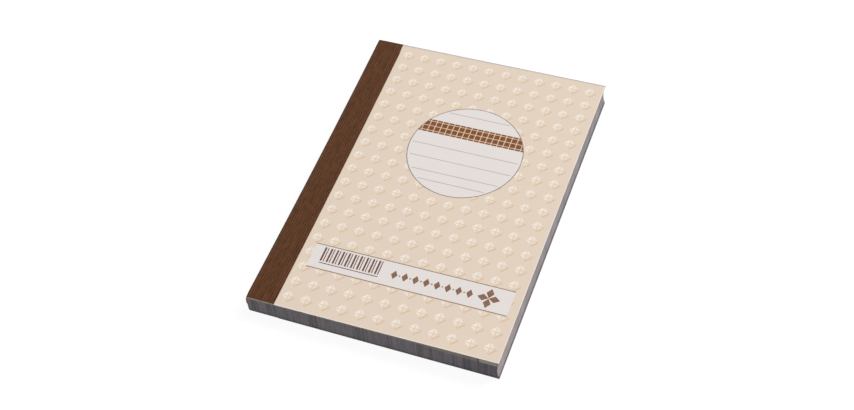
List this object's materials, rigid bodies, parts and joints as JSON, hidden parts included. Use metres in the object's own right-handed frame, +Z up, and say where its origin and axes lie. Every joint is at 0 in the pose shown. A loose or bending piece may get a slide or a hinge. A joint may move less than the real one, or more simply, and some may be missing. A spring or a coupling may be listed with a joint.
{
  "type": "carbonless duplicate book",
  "caption": "Stapled pad of carbonless copy sheets between two card covers, with a ribbed cloth tape round its spine. Both covers open.",
  "frame": {"origin": "under the middle of the closed book, on the surface that it lies on", "axes": "+X from the spine to the fore-edge, +Y from tail to head, +Z up through the front cover"},
  "size_m": [0.106, 0.148, 0.0109],
  "materials": {
    "sheets": "trimmed paper edges",
    "cover_card": "matt coated card",
    "back_card": "matt card",
    "cloth_tape": "ribbed book cloth",
    "staple_wire": "zinc-coated wire",
    "pale_print": "matt print",
    "grey_print": "matt print",
    "brown_print": "matt print",
    "light_print": "matt print",
    "tan_print": "matt print"
  },
  "bodies": {
    "pad": {"page_block": "sheets", "front_cover_strip": "cover_card", "back_cover_strip": "back_card", "spine_tape": "cloth_tape", "staples": "staple_wire"},
    "front_leaf": {"front_cover": "cover_card", "label_field": "pale_print", "label_outline": "grey_print", "label_rules": "grey_print", "label_squares": "brown_print", "title_band": "pale_print", "band_rules": "brown_print", "band_bars": "brown_print", "band_ornament": "brown_print", "pattern_lights": "light_print", "pattern_shades": "tan_print"},
    "back_leaf": {"back_cover": "back_card"}
  },
  "joints": [
    {"name": "front_cover_fold", "type": "hinge", "parent": "pad", "child": "front_leaf", "pos_m": [-0.0397, 0, 0.00944], "axis": [0, -1, 0], "range_deg": [0, 180]},
    {"name": "back_cover_fold", "type": "hinge", "parent": "pad", "child": "back_leaf", "pos_m": [-0.0397, 0, -0.0001], "axis": [0, 1, 0], "range_deg": [0, 180]}
  ]
}
